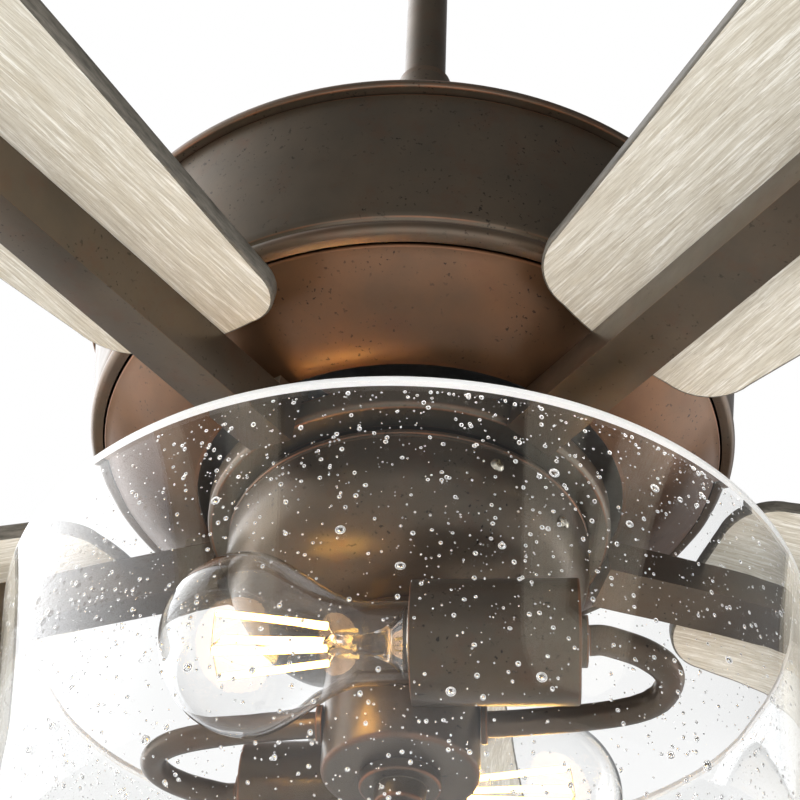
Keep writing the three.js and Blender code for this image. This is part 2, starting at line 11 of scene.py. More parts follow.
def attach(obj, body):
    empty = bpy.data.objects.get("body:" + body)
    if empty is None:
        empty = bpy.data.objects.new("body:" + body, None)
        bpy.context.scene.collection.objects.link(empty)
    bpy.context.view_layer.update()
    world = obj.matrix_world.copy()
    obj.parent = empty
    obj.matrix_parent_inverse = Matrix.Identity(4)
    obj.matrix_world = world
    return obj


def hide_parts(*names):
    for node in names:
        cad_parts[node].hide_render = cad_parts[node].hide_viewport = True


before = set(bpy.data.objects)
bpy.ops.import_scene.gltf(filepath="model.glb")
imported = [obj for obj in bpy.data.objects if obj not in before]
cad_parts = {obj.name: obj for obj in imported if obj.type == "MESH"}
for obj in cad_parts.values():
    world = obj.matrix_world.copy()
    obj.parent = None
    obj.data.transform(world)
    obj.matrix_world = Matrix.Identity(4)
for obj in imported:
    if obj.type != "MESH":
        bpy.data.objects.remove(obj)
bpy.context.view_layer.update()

MM = 0.001
SEGMENTS = 160  # round the large turned pieces
MEDIUM = 72  # round the column, the canopy and the bulbs
SMALL = 32  # round rods, pins and screws
FULL_WEAR_AND_GLINT = 2.4  # turn per mm of width, in rad, that counts as a full copper edge: worn finish and painted highlight

# ---- dimensions, in millimetres, as in the CAD ----------------------------------------------------------

BLADES = 5
FIRST_BLADE = math.radians(304.5)
PITCH = math.radians(13)
ARM_TOP = -510
SOCKET_Z = -600
SOCKET_Y = 48
SOCKET_MOUTH = 6
SOCKET_REAR = 60.4
LAMP_TURN = math.radians(-4.5)
LIP = dict(inner=127, radius=133, top=-415, bottom=-418.5)
DOME = dict(foot=129, base=-414.2, top=-352, radius=50, hole=20)
DRUM = dict(top_radius=129.3, top=-418.9, groove_radius=123, groove=-474.5, foot_radius=118.2, foot=-484)
BEAD = dict(middle=120, z=-480.5, radius=3.3, first=-1.3, last=1.2)
PAN = dict(inner=80, reach=37.6, bottom=-505, rise=20.6, power=1.7, thick=1.4)
HUB = dict(bore=10, radius=75, pocket=64, collar=40, collar_bore=30, top=-512, bottom=-521, face=-485.7)
ARM = dict(start=75.5, end=300, half=9.5, height=17, blade_screws=(150, 210, 270))
FOOT = dict(start=42, end=88, half=9, bottom=-511.7, top=-508, screws=(50, 66))
COLUMN = dict(bore=3.3, radius=27, inside=24.5, top=-566.3, bottom=-621.5, neck=8.3)
CAP = dict(radius=14, neck=8.9, top=-621.8, step=-626, bottom=-633)
BULB = dict(radius=30, neck=13.2, neck_length=14, length=82, wall=0.7)
SHADE = dict(radius=141, top=-569, shoulder=-658, bottom=-725, wall=4, hole=6, squareness=2.6)


# ---- mesh helpers ---------------------------------------------------------------------------------------

def new_object(name, vertices, faces, material, smooth_angle=40):
    """A mesh object from points in millimetres, with its faces pointing out and its doubles merged."""
    mesh = bpy.data.meshes.new(name)
    mesh.from_pydata([Vector(v) * MM for v in vertices], [], faces)
    work = bmesh.new()
    work.from_mesh(mesh)
    bmesh.ops.remove_doubles(work, verts=work.verts, dist=1e-6)
    bmesh.ops.dissolve_degenerate(work, edges=work.edges, dist=1e-7)
    bmesh.ops.recalc_face_normals(work, faces=work.faces)
    work.to_mesh(mesh)
    work.free()
    return finish_object(name, mesh, material, smooth_angle)


def finish_object(name, mesh, material, smooth_angle=40):
    mesh.shade_smooth()
    mesh.set_sharp_from_angle(angle=math.radians(smooth_angle))
    mark_edges(mesh)
    piece = bpy.data.objects.new(name, mesh)
    bpy.context.scene.collection.objects.link(piece)
    mesh.materials.append(material)
    return piece


def mark_edges(mesh):
    """Marks the narrow faces that turn over a convex edge, where the finish turns copper: partly worn
    through, partly a painted highlight.
    """
    work = bmesh.new()
    work.from_mesh(mesh)
    work.normal_update()
    values = np.zeros(len(work.faces), np.float32)
    for i, face in enumerate(work.faces):
        area = max(face.calc_area() / MM ** 2, 1e-4)
        turn = sum(max(0.0, edge.calc_face_angle_signed(0.0)) * edge.calc_length() for edge in face.edges)
        values[i] = min(1.0, turn / MM / area / FULL_WEAR_AND_GLINT)
    work.free()
    mesh.attributes.new("edge", "FLOAT", "FACE").data.foreach_set("value", values)


def rounded(outline, steps=5):
    """Replaces each (radius, height, fillet) corner of a closed outline by a short arc."""
    points = []
    for i, corner in enumerate(outline):
        here = np.array(corner[:2], float)
        fillet = corner[2] if len(corner) > 2 else 0
        if not fillet:
            points.append(tuple(here))
            continue
        before = np.array(outline[i - 1][:2], float)
        after = np.array(outline[(i + 1) % len(outline)][:2], float)
        back = (before - here) / np.linalg.norm(before - here)
        on = (after - here) / np.linalg.norm(after - here)
        start, end = here + back * fillet, here + on * fillet
        for k in range(steps + 1):
            t = k / steps
            points.append(tuple((1 - t) ** 2 * start + 2 * t * (1 - t) * here + t ** 2 * end))
    return points


def turned_mesh(outline, segments):
    """Vertices and quads of an outline of (radius, height) points turned about Z."""
    count = len(outline)
    vertices = []
    for k in range(segments):
        angle = 2 * math.pi * k / segments
        vertices += [(r * math.cos(angle), r * math.sin(angle), z) for r, z in outline]
    faces = []
    for k in range(segments):
        here, there = k * count, (k + 1) % segments * count
        for i in range(count):
            j = (i + 1) % count
            faces.append((here + i, there + i, there + j, here + j))
    return vertices, faces


def turned(name, outline, material, segments=SEGMENTS, matrix=None, smooth_angle=40):
    """A closed outline turned about Z, or about the Z axis of matrix."""
    vertices, faces = turned_mesh(rounded(outline), segments)
    if matrix is not None:
        vertices = [matrix @ Vector(v) for v in vertices]
    return new_object(name, vertices, faces, material, smooth_angle)


def swept(name, path, radius, material, sides=24):
    """A round bar along a list of points, with flat ends."""
    points = [Vector(p) for p in path]
    tangents = []
    for i in range(len(points)):
        ahead = points[min(i + 1, len(points) - 1)]
        behind = points[max(i - 1, 0)]
        tangents.append((ahead - behind).normalized())
    side = tangents[0].orthogonal().normalized()
    vertices, faces = [], []
    for point, tangent in zip(points, tangents):
        side = (side - tangent * side.dot(tangent)).normalized()
        other = tangent.cross(side)
        for k in range(sides):
            angle = 2 * math.pi * k / sides
            vertices.append(point + (side * math.cos(angle) + other * math.sin(angle)) * radius)
    for i in range(len(points) - 1):
        for k in range(sides):
            n = (k + 1) % sides
            faces.append((i * sides + k, i * sides + n, (i + 1) * sides + n, (i + 1) * sides + k))
    faces.append(tuple(reversed(range(sides))))
    last = (len(points) - 1) * sides
    faces.append(tuple(last + k for k in range(sides)))
    return new_object(name, vertices, faces, material)


def prism(outline, low, high, bevel=0.0, matrix=None):
    """Vertices and faces of a flat outline of (x, y) points between two heights, with chamfered rims."""
    count = len(outline)
    centre = Vector((sum(p[0] for p in outline) / count, sum(p[1] for p in outline) / count))
    flat = [Vector(p) for p in outline]
    inward = []
    for i in range(count):
        along = (flat[(i + 1) % count] - flat[i - 1]).normalized()
        normal = Vector((-along.y, along.x))
        inward.append(normal if normal.dot(centre - flat[i]) > 0 else -normal)
    rings = [(low, bevel), (low + bevel * 0.3, bevel * 0.3), (low + bevel, 0)] if bevel else [(low, 0)]
    rings += [(high - bevel, 0), (high - bevel * 0.3, bevel * 0.3), (high, bevel)] if bevel else [(high, 0)]
    vertices = []
    for height, inset in rings:
        vertices += [Vector((p.x + n.x * inset, p.y + n.y * inset, height)) for p, n in zip(flat, inward)]
    faces = []
    for level in range(len(rings) - 1):
        for i in range(count):
            j = (i + 1) % count
            low_ring, high_ring = level * count, (level + 1) * count
            faces.append((low_ring + i, low_ring + j, high_ring + j, high_ring + i))
    faces.append(tuple(reversed(range(count))))
    faces.append(tuple((len(rings) - 1) * count + i for i in range(count)))
    if matrix is not None:
        vertices = [matrix @ v for v in vertices]
    return vertices, faces


def joined(*meshes):
    """Puts several (vertices, faces) pairs into one."""
    vertices, faces = [], []
    for some_vertices, some_faces in meshes:
        offset = len(vertices)
        vertices += list(some_vertices)
        faces += [tuple(i + offset for i in face) for face in some_faces]
    return vertices, faces


def moved(mesh, matrix):
    vertices, faces = mesh
    return [matrix @ Vector(v) for v in vertices], faces


def sample(count, curve):
    return [curve(i / count) for i in range(count + 1)]


def about_z(angle):
    return Matrix.Rotation(angle, 4, "Z")


def shift(x, y, z):
    return Matrix.Translation((x, y, z))


# ---- materials ------------------------------------------------------------------------------------------

class Nodes:
    """A short way to write a node material."""

    def __init__(self, name):
        self.material = bpy.data.materials.new(name)
        self.material.use_nodes = True
        self.tree = self.material.node_tree
        self.shader = self.tree.nodes["Principled BSDF"]

    def add(self, kind, inputs=(), **settings):
        node = self.tree.nodes.new(kind)
        for key, value in settings.items():
            setattr(node, key, value)
        for socket, value in dict(inputs).items():
            self.put(node.inputs[socket], value)
        return node

    def put(self, socket, value):
        if isinstance(value, bpy.types.NodeSocket):
            self.tree.links.new(value, socket)
        else:
            socket.default_value = value

    def set(self, **values):
        for name, value in values.items():
            self.put(self.shader.inputs[name.replace("_", " ")], value)

    def where(self):
        return self.add("ShaderNodeTexCoord").outputs["Object"]

    def attribute(self, name, output="Fac"):
        return self.add("ShaderNodeAttribute", attribute_name=name).outputs[output]

    def stretched(self, vector, scale):
        return self.add("ShaderNodeMapping", {"Vector": vector, "Scale": scale}).outputs[0]

    def noise(self, vector, scale, detail=4.0, rough=0.55):
        inputs = {"Vector": vector, "Scale": scale, "Detail": detail, "Roughness": rough}
        return self.add("ShaderNodeTexNoise", inputs).outputs["Fac"]

    def step(self, value, low, high, to_low=0.0, to_high=1.0):
        inputs = {"Value": value, "From Min": low, "From Max": high, "To Min": to_low, "To Max": to_high}
        return self.add("ShaderNodeMapRange", inputs, clamp=True).outputs[0]

    def math(self, operation, a, b):
        return self.add("ShaderNodeMath", {0: a, 1: b}, operation=operation).outputs[0]

    def mix(self, factor, a, b):
        node = self.add("ShaderNodeMix", data_type="RGBA")
        self.put(node.inputs["Factor"], factor)
        self.put(node.inputs["A"], a)
        self.put(node.inputs["B"], b)
        return node.outputs["Result"]

    def bump(self, height, strength, distance):
        inputs = {"Height": height, "Strength": strength, "Distance": distance}
        self.set(Normal=self.add("ShaderNodeBump", inputs).outputs[0])


def rgb(red, green, blue):
    """A colour given as sRGB bytes."""
    def linear(byte):
        c = byte / 255
        return c / 12.92 if c <= 0.04045 else ((c + 0.055) / 1.055) ** 2.4
    return (linear(red), linear(green), linear(blue), 1)


def bronze(name, dark, warm, worn_and_glint, roughness=0.34, wear_and_glint=1.0):
    """Oil-rubbed bronze: a mottled satin brown with fine dark specks, and copper on the convex edges, partly
    worn finish and partly painted highlight.
    """
    m = Nodes(name)
    place = m.where()
    mottle = m.step(m.noise(place, 26, 5, 0.6), 0.36, 0.68)
    colour = m.mix(mottle, dark, warm)
    rust = m.step(m.noise(place, 70, 6, 0.7), 0.52, 0.72, 0, 0.35)
    colour = m.mix(rust, colour, rgb(104, 66, 46))
    specks = m.step(m.noise(place, 620, 2, 0.5), 0.64, 0.7)
    grime = m.step(m.noise(place, 55, 3), 0.42, 0.62)
    specks = m.math("MULTIPLY", specks, m.math("MULTIPLY", grime, 0.75))
    colour = m.mix(specks, colour, rgb(22, 20, 18))
    patchy = m.step(m.noise(place, 60, 4, 0.6), 0.34, 0.62, 0.1, 1.0)
    # copper on convex edges: worn-through finish and a painted highlight where rounded edges catch the light
    edge = m.step(m.attribute("edge"), 0.12, 0.75)
    edge = m.math("MULTIPLY", m.math("MULTIPLY", edge, patchy), wear_and_glint)
    colour = m.mix(edge, colour, worn_and_glint)
    shine = m.step(m.noise(place, 90, 4), 0.3, 0.7, roughness - 0.05, roughness + 0.07)
    m.set(Base_Color=colour, Metallic=0.8, Roughness=shine, Coat_Weight=0.35)
    m.shader.inputs["Coat Roughness"].default_value = 0.22
    m.bump(m.noise(place, 1400, 2), 0.08, 0.0002)
    return m.material


def weathered_oak(name):
    """Whitewashed oak: pores and rays run along the blade, with pale lime in the open grain."""
    m = Nodes(name)
    grain = m.attribute("grain", "Vector")
    slow = {"Vector": m.stretched(grain, (14, 26, 26)), "Scale": 1.0, "Detail": 2.0}
    wander = m.add("ShaderNodeTexNoise", slow).outputs["Color"]
    drift = m.add("ShaderNodeVectorMath", {0: wander, 1: (0.5, 0.5, 0.5)}, operation="SUBTRACT")
    drift = m.add("ShaderNodeVectorMath", {0: drift.outputs[0], "Scale": 0.004}, operation="SCALE")
    grain = m.add("ShaderNodeVectorMath", {0: grain, 1: drift.outputs[0]}, operation="ADD").outputs[0]
    broad = m.noise(m.stretched(grain, (3, 40, 40)), 1.0, 4, 0.6)
    fibre = m.noise(m.stretched(grain, (55, 1500, 1500)), 1.0, 5, 0.7)
    pores = m.noise(m.stretched(grain, (120, 2600, 2600)), 1.0, 3, 0.6)
    lime = m.noise(m.stretched(grain, (40, 800, 800)), 1.0, 5, 0.75)
    colour = m.mix(m.step(broad, 0.3, 0.7), rgb(194, 187, 170), rgb(212, 207, 194))
    colour = m.mix(m.step(fibre, 0.44, 0.6, 0, 0.6), colour, rgb(168, 158, 139))
    colour = m.mix(m.step(lime, 0.5, 0.64, 0, 0.85), colour, rgb(236, 234, 226))
    colour = m.mix(m.step(pores, 0.6, 0.7, 0, 0.6), colour, rgb(146, 134, 114))
    m.set(Base_Color=colour, Roughness=m.step(lime, 0.3, 0.7, 0.55, 0.75))
    m.shader.inputs["Specular IOR Level"].default_value = 0.3
    m.bump(m.math("ADD", fibre, pores), 0.35, 0.0003)
    return m.material


def shaded_blade_edge(name):
    """The blade's edge band, a darker grey-brown: painted shade on the thickness edges."""
    m = Nodes(name)
    grain = m.attribute("grain", "Vector")
    streak = m.noise(m.stretched(grain, (40, 700, 700)), 1.0, 4, 0.7)
    colour = m.mix(m.step(streak, 0.35, 0.68), rgb(70, 66, 58), rgb(118, 112, 102))
    m.set(Base_Color=colour, Roughness=m.step(streak, 0.3, 0.7, 0.4, 0.6))
    m.bump(streak, 0.3, 0.0003)
    return m.material


def seeded_glass(name):
    """Clear blown glass. Its seeds are real bubbles in the wall; the bump is only its slow waves."""
    m = Nodes(name)
    place = m.where()
    m.set(Base_Color=(0.985, 0.99, 0.988, 1), Roughness=m.step(m.noise(place, 30, 3), 0.3, 0.7, 0.0, 0.008))
    m.shader.inputs["Transmission Weight"].default_value = 1
    m.shader.inputs["IOR"].default_value = 1.46
    m.bump(m.noise(place, 26, 1), 0.1, 0.0008)
    return m.material


def ground_glass(name):
    """The shade's ground rim, frosted white."""
    m = Nodes(name)
    frost = m.noise(m.where(), 900, 3)
    m.set(Base_Color=m.mix(frost, (0.92, 0.93, 0.92, 1), (1, 1, 1, 1)))
    m.set(Roughness=m.step(frost, 0.3, 0.7, 0.45, 0.7))
    m.shader.inputs["Transmission Weight"].default_value = 0.1
    m.shader.inputs["IOR"].default_value = 1.46
    m.bump(frost, 0.4, 0.0002)
    return m.material


def bubble_air(name):
    """Air inside the glass: light bends the other way on its way in, and the bubble's rim is an opaque
    white, a painted reflection of the bright room.
    """
    m = Nodes(name)
    rim = m.add("ShaderNodeLayerWeight", {"Blend": 0.5}).outputs["Facing"]
    tint = m.mix(m.noise(m.where(), 40), (1, 1, 1, 1), (0.97, 0.98, 0.98, 1))
    # facing away, transmission drops to an opaque white rim: painted reflection of the room caught at the
    # bubble's edge
    m.set(Base_Color=tint, Roughness=0, Transmission_Weight=m.step(rim, 0.3, 0.6, 1.0, 0.0))
    m.shader.inputs["IOR"].default_value = 0.685
    return m.material


def bulb_glass(name):
    m = Nodes(name)
    place = m.where()
    m.set(Base_Color=(1, 1, 1, 1), Roughness=m.step(m.noise(place, 60, 2), 0.3, 0.7, 0.0, 0.01))
    m.shader.inputs["Transmission Weight"].default_value = 1
    m.shader.inputs["IOR"].default_value = 1.45
    m.bump(m.noise(place, 70, 2), 0.1, 0.0006)
    return m.material


def filament(name):
    m = Nodes(name)
    beads = m.noise(m.where(), 900, 2)
    glow = m.mix(m.step(beads, 0.35, 0.65), (1, 0.55, 0.12, 1), (1, 0.66, 0.22, 1))
    rim = m.add("ShaderNodeLayerWeight", {"Blend": 0.5}).outputs["Facing"]
    strength = m.step(rim, 0.25, 0.8, 16.0, 1.6)
    m.set(Base_Color=rgb(240, 200, 90), Roughness=0.6, Emission_Color=glow, Emission_Strength=strength)
    return m.material


def plain_metal(name, colour, other, roughness, scale=300, stretch=(1, 1, 1), metallic=1.0):
    m = Nodes(name)
    place = m.stretched(m.where(), stretch)
    streak = m.noise(place, scale, 4, 0.6)
    m.set(Base_Color=m.mix(m.step(streak, 0.3, 0.7), colour, other), Metallic=metallic)
    m.set(Roughness=m.step(streak, 0.3, 0.7, roughness - 0.06, roughness + 0.08))
    m.bump(streak, 0.12, 0.0002)
    return m.material


def plain_matt(name, colour, other, roughness, scale=260, depth=0.0002):
    m = Nodes(name)
    cloud = m.noise(m.where(), scale, 4, 0.6)
    m.set(Base_Color=m.mix(m.step(cloud, 0.3, 0.7), colour, other))
    m.set(Roughness=m.step(cloud, 0.3, 0.7, roughness - 0.05, roughness + 0.07))
    m.bump(cloud, 0.2, depth)
    return m.material


def make_materials():
    # copper: the colour of worn edges and of painted edge highlights
    copper = rgb(150, 94, 60)
    return {
        "bronze": bronze("bronze", rgb(88, 79, 67), rgb(102, 88, 72), copper, wear_and_glint=0.7),
        # the pan's bronze is a warmer, redder copy of the housing's: painted warm lamp light reflected on
        # the pan
        "pan": bronze("pan_bronze_warm_lit", rgb(96, 72, 52), rgb(118, 82, 54), copper, 0.36, 0.5),
        # the hub's bronze is a lighter, greyer copy: painted sheen for the grey reflection seen on the hub
        "hub": bronze("hub_bronze_pale_sheen", rgb(96, 90, 79), rgb(110, 101, 86), copper, 0.38, 0.6),
        "dark": bronze("dark_bronze", rgb(56, 50, 45), rgb(68, 60, 53), rgb(120, 80, 52), 0.42, 0.6),
        "steel": plain_metal("zinc_steel", rgb(168, 170, 172), rgb(190, 192, 192), 0.34),
        "iron": plain_metal("laminated_iron", rgb(88, 90, 94), rgb(112, 114, 118), 0.5, 60, (1, 1, 18)),
        "aluminium": plain_metal("cast_aluminium", rgb(158, 160, 164), rgb(178, 180, 184), 0.5, 420),
        "copper_wire": plain_metal("copper_wire", rgb(150, 78, 40), rgb(196, 116, 62), 0.36, 40, (1, 1, 30)),
        "nickel": plain_metal("nickel_brass", rgb(214, 206, 186), rgb(228, 222, 208), 0.22),
        "oak": weathered_oak("weathered_oak"),
        "oak_edge_shade": shaded_blade_edge("oak_edge_shade"),
        "plastic": plain_matt("black_nylon", rgb(30, 30, 31), rgb(40, 40, 41), 0.5),
        "ceramic": plain_matt("lamp_ceramic", rgb(226, 222, 212), rgb(238, 235, 228), 0.42),
        "rubber": plain_matt("soft_rubber", rgb(26, 26, 26), rgb(36, 35, 34), 0.75),
        "glass": seeded_glass("seeded_glass"),
        "rim": ground_glass("ground_rim"),
        "bubble": bubble_air("seed_air"),
        "bulb": bulb_glass("bulb_glass"),
        "filament": filament("lit_filament"),
    }


# ---- putting pieces on the frame ------------------------------------------------------------------------

def place(piece, body, slot, *nodes):
    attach(piece, body)
    if nodes:
        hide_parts(*nodes)
    return piece


def pan_screw(name, head, shank, length, matrix, material, segments=SMALL):
    """A pan-head screw with a cross recess. Its head stands at negative Z of matrix."""
    height = head * 0.62
    outline = [(0, -height), (head * 0.55, -height, head * 0.2), (head, -height * 0.35, head * 0.2),
               (head, 0), (shank, 0), (shank, length), (0, length)]
    screw = turned(name, outline, material, segments, matrix)
    cross = []
    for turn in (0, math.pi / 2):
        arm = prism([(-head * 0.55, -head * 0.11), (head * 0.55, -head * 0.11), (head * 0.55, head * 0.11),
                     (-head * 0.55, head * 0.11)], -height - 1, -height * 0.45)
        cross.append(moved(arm, matrix @ about_z(turn)))
    for vertices, faces in cross:
        cut_away(screw, vertices, faces)
    return screw


def combine(piece, vertices, faces, operation):
    """Takes a closed shape out of a piece, or joins it on."""
    tool = new_object("tool", vertices, faces, piece.data.materials[0])
    modifier = piece.modifiers.new(operation.lower(), "BOOLEAN")
    modifier.object = tool
    modifier.operation = operation
    modifier.solver = "EXACT"
    apply_modifiers(piece)
    bpy.data.objects.remove(tool)


def cut_away(piece, vertices, faces):
    combine(piece, vertices, faces, "DIFFERENCE")


def join_on(piece, vertices, faces):
    combine(piece, vertices, faces, "UNION")


def apply_modifiers(piece):
    graph = bpy.context.evaluated_depsgraph_get()
    result = bpy.data.meshes.new_from_object(piece.evaluated_get(graph))
    piece.modifiers.clear()
    old = piece.data
    piece.data = result
    bpy.data.meshes.remove(old)
    result.shade_smooth()
    result.set_sharp_from_angle(angle=math.radians(40))
    if "edge" in result.attributes:
        result.attributes.remove(result.attributes["edge"])
    mark_edges(result)


# ---- ceiling side ---------------------------------------------------------------------------------------

BALL_Z = -38


def make_canopy(m):
    hole, radius, wall = 23, 70, 1.6
    shoulder, bottom, top = -26, -72, -1

    def bell(edge, depth):
        return lambda t: (hole + (edge - hole) * math.sin(t * math.pi / 2),
                          depth + (shoulder - depth) * (1 - math.cos(t * math.pi / 2)))
    outer = sample(22, bell(radius, bottom))
    inner = sample(22, bell(radius - wall, bottom + wall))[::-1]
    canopy = turned("canopy_shell", [*outer, (radius, top), (radius - wall, top), *inner], m["bronze"])
    place(canopy, "ceiling_mount", "bronze", "canopy")
    for side, label in ((-1, "left"), (1, "right")):
        turn = Matrix.Rotation(-side * math.pi / 2, 4, "Y")
        side_place = shift(side * (radius + 0.3), 0, -9) @ turn
        screw = pan_screw(f"canopy_thumb_screw_{label}", 4.4, 2.2, 32, side_place, m["dark"])
        place(screw, "ceiling_mount", "bronze_dark", f"canopy_screw_{label}")
        up = pan_screw(f"ceiling_screw_{label}", 4.4, 2.2, 3, shift(side * 30, 0, -3.3), m["steel"])
        place(up, "ceiling_mount", "steel", f"bracket_screw_{label}")


def make_hanger(m):
    bore, radius, end = 9.8, 25, 1.16
    ball_outline = [(bore, radius * math.sin(-end))]
    ball_outline += [(radius * math.cos(a), radius * math.sin(a)) for a in np.linspace(-end, end, 40)]
    ball_outline.append((bore, radius * math.sin(end)))
    ball = turned("hanger_ball_nylon", [(r, z + BALL_Z) for r, z in ball_outline], m["plastic"], MEDIUM)
    place(ball, "fan_frame", "black_plastic", "hanger_ball")

    def arc(radius, start, end):
        angles = np.linspace(math.radians(start), math.radians(end), 12)
        return [(radius * math.cos(a), BALL_Z - radius * math.sin(a)) for a in angles]
    liner = turned("ball_seat_liner", arc(28, 42, 21) + arc(25.5, 21, 42), m["plastic"], MEDIUM)
    place(liner, "swivel_liner", "black_plastic", "ball_liner")


# ---- downrod and coupling -------------------------------------------------------------------------------

def make_downrod(m):
    bore, radius, top, bottom = 7.5, 9.525, -11, -330
    pipe = turned("downrod_tube", [(bore, bottom), (radius, bottom, 0.5), (radius, top, 0.5), (bore, top)],
                  m["bronze"], MEDIUM)
    for height in (BALL_Z, -313):
        vertices, faces = turned_mesh([(0, -20), (3.3, -20), (3.3, 20), (0, 20)], SMALL)
        turn = shift(0, 0, height) @ Matrix.Rotation(math.pi / 2, 4, "Y")
        cut_away(pipe, *moved((vertices, faces), turn))
    place(pipe, "fan_frame", "bronze", "downrod")

    def bell(inset):
        return lambda t: (12 + 31 * (1 - t) ** 2.2 - inset, -349.7 + 96.7 * t)
    outer = sample(30, bell(0))
    inner = sample(30, bell(1.5))[::-1]
    cover = turned("coupling_cover_bell", [*outer, *inner], m["bronze"])
    place(cover, "fan_frame", "bronze", "coupling_cover")


# ---- motor housing --------------------------------------------------------------------------------------

def make_housing(m):
    def dome(edge, base, top):
        radius = DOME["radius"]
        return lambda t: (edge + (radius - edge) * t, base + (top - base) * t * (1.35 - 0.35 * t))
    lip, inner_edge = LIP["radius"], LIP["inner"]
    outer = sample(30, dome(DOME["foot"], DOME["base"], DOME["top"]))
    inner = sample(24, dome(inner_edge, -416.4, -353.4))[::-1]
    upper = turned("housing_dome", [
        (inner_edge, LIP["bottom"]), (132.4, LIP["bottom"], 0.5), (lip, -417.6, 0.6), (lip, LIP["top"], 1.3),
        *outer, (DOME["hole"], DOME["top"], 0.5), (DOME["hole"], -353.4), *inner], m["bronze"], 200)
    place(upper, "fan_frame", "bronze", "upper_housing")

    radius = BEAD["radius"]
    bead = [(BEAD["middle"] + radius * math.cos(a), BEAD["z"] + radius * math.sin(a))
            for a in np.linspace(BEAD["first"], BEAD["last"], 14)]
    wall = [(DRUM["foot_radius"], DRUM["foot"]), *bead, (121.5, -476.6, 0.5), (122.4, -475.9, 0.4),
            (DRUM["groove_radius"], DRUM["groove"], 1.2), (DRUM["top_radius"], DRUM["top"], 0.6),
            (127.9, DRUM["top"]), (120.2, DRUM["groove"]), (DRUM["foot_radius"], -477.5)]
    drum = turned("motor_drum_shell", wall, m["bronze"], 200)
    place(drum, "fan_frame", "bronze", "motor_drum")

    def bowl(lift):
        return lambda t: (PAN["inner"] + PAN["reach"] * t,
                          PAN["bottom"] + PAN["rise"] * t ** PAN["power"] + lift)
    under = sample(26, bowl(0))[:-1]
    over = [p for p in sample(26, bowl(PAN["thick"])) if p[0] < 114.8][::-1]
    rim = [(117.2, -485.1, 0.3), (117.5, -484.4, 0.3), (116.8, -483.1, 0.3), (115.6, -483.7, 0.3)]
    pan = turned("underside_pan", [*under, *rim, *over], m["pan"], 200)
    place(pan, "fan_frame", "bronze", "lower_pan")


# ---- rotor ----------------------------------------------------------------------------------------------

def make_hub(m):
    bore, radius, pocket, collar, collar_bore, top, bottom, face = HUB.values()
    hub = turned("flywheel_hub", [
        (bore, -518), (pocket, -518), (pocket, bottom, 0.5), (73.6, bottom, 0.5), (radius, -519.6, 1),
        (radius, top, 0.8), (collar, top), (collar, face), (collar_bore, face), (collar_bore, -513),
        (bore, -513)], m["hub"], 200)
    place(hub, "rotor", "bronze_casting", "hub")


def blade_outline():
    """The blade's outline in its own plane: +X runs out to the tip."""
    root, corner, root_half, half, wide, tip, tip_corner = 116.5, 20, 43, 70, 430, 659.9, 32
    start = root + 2 + corner

    def bezier(t, points):
        a, b, c, d = (Vector(p) for p in points)
        return (1 - t) ** 3 * a + 3 * t * (1 - t) ** 2 * b + 3 * t * t * (1 - t) * c + t ** 3 * d
    side = [(start, -root_half), (start + 95, -root_half - 12), (wide - 120, -half), (wide, -half)]
    outline = [tuple(bezier(t, side)) for t in np.linspace(0, 1, 40)]
    outline += [(x, -half) for x in np.linspace(wide, tip - tip_corner, 14)[1:-1]]

    def arc(x, y, radius, first, last, count=12):
        angles = np.radians(np.linspace(first, last, count))
        return [(x + radius * math.cos(a), y + radius * math.sin(a)) for a in angles]
    outline += arc(tip - tip_corner, -half + tip_corner, tip_corner, -90, 0)
    lower = outline[:]
    upper = [(x, -y) for x, y in reversed(lower)]
    crown = [(root + 2 - 2 * (1 - (y / (root_half - corner)) ** 2), y)
             for y in np.linspace(root_half - corner, corner - root_half, 11)[1:-1]]
    inner_top = arc(start, root_half - corner, corner, 90, 180)
    inner_low = arc(start, corner - root_half, corner, 180, 270)
    return lower + upper + inner_top[1:] + crown + inner_low[:-1]


def make_blades(m):
    outline = blade_outline()
    generator = random.Random(7)
    for i in range(BLADES):
        spoke = about_z(FIRST_BLADE + 2 * math.pi * i / BLADES)
        pitched = spoke @ shift(0, 0, ARM_TOP) @ Matrix.Rotation(-PITCH, 4, "X")
        vertices, faces = prism(outline, 0.3, 6.3, 0.9)
        blade = new_object(f"oak_blade_{i + 1}", moved((vertices, faces), pitched)[0], faces, m["oak"], 50)
        mesh = blade.data
        mesh.materials.append(m["oak_edge_shade"])
        flat = (pitched.to_3x3() @ Vector((0, 0, 1))).normalized()
        # the blade's side faces take the darker edge material: painted shade
        for polygon in mesh.polygons:
            polygon.material_index = 0 if abs(polygon.normal.dot(flat)) > 0.93 else 1
        store_grain(mesh, pitched, generator.uniform(0, 40))
        place(blade, "rotor", "oak", f"blade_{i + 1}")


def store_grain(mesh, matrix, offset):
    """Coordinates along the board, for the wood's grain; offset takes each board from another log."""
    back = matrix.inverted()
    attribute = mesh.attributes.new("grain", "FLOAT_VECTOR", "POINT")
    values = []
    for vertex in mesh.vertices:
        local = back @ (vertex.co / MM) * MM
        values += [local.x + offset, local.y + offset * 0.37, local.z]
    attribute.data.foreach_set("vector", values)


